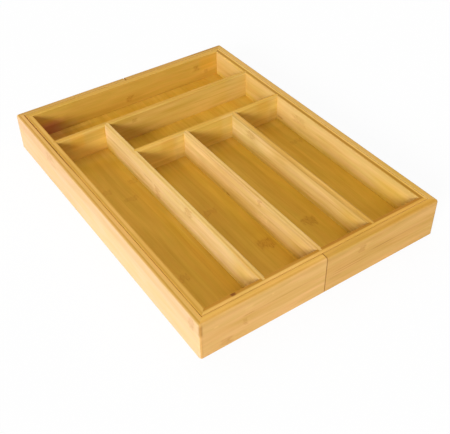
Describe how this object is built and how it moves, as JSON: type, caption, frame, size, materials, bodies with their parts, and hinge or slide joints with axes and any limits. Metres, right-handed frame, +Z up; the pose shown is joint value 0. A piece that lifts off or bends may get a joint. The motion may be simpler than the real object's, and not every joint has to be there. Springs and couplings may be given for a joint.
{
  "type": "expandable drawer organizer",
  "caption": "Expandable bamboo drawer organizer: a compartmented tray between outer halves that slide apart sideways and uncover extra compartments at its ends.",
  "frame": {"origin": "middle of the closed organizer's footprint, on the surface that it stands on", "axes": "+X to the right along the slides, +Y from the front to the back along the long compartments, +Z up"},
  "size_m": [0.325, 0.444, 0.051],
  "materials": {
    "end_wall": "bamboo, pale side grain, satin lacquer",
    "half_wall": "bamboo, warm honey, satin lacquer",
    "tray_wall": "bamboo, warm honey, satin lacquer",
    "divider": "bamboo, warm honey, satin lacquer",
    "floor": "bamboo board of narrow strips, satin lacquer",
    "runner": "bamboo, bare"
  },
  "bodies": {
    "tray": {"tray_front_wall": "tray_wall", "tray_right_wall": "tray_wall", "tray_back_wall": "tray_wall", "tray_left_wall": "tray_wall", "tray_floor": "floor", "rear_cross_divider": "divider", "second_cross_divider": "divider", "long_divider_left": "divider", "long_divider_middle": "divider", "long_divider_right": "divider", "front_left_runner": "runner", "front_right_runner": "runner", "back_left_runner": "runner", "back_right_runner": "runner"},
    "left_half": {"left_end_wall": "end_wall", "left_front_wall": "half_wall", "left_back_wall": "half_wall", "left_floor": "floor"},
    "right_half": {"right_end_wall": "end_wall", "right_front_wall": "half_wall", "right_back_wall": "half_wall", "right_floor": "floor"}
  },
  "joints": [
    {"name": "left_slide", "type": "slide", "parent": "tray", "child": "left_half", "axis": [-1, 0, 0], "range_m": [0, 0.118]},
    {"name": "right_slide", "type": "slide", "parent": "tray", "child": "right_half", "axis": [1, 0, 0], "range_m": [0, 0.122]}
  ]
}
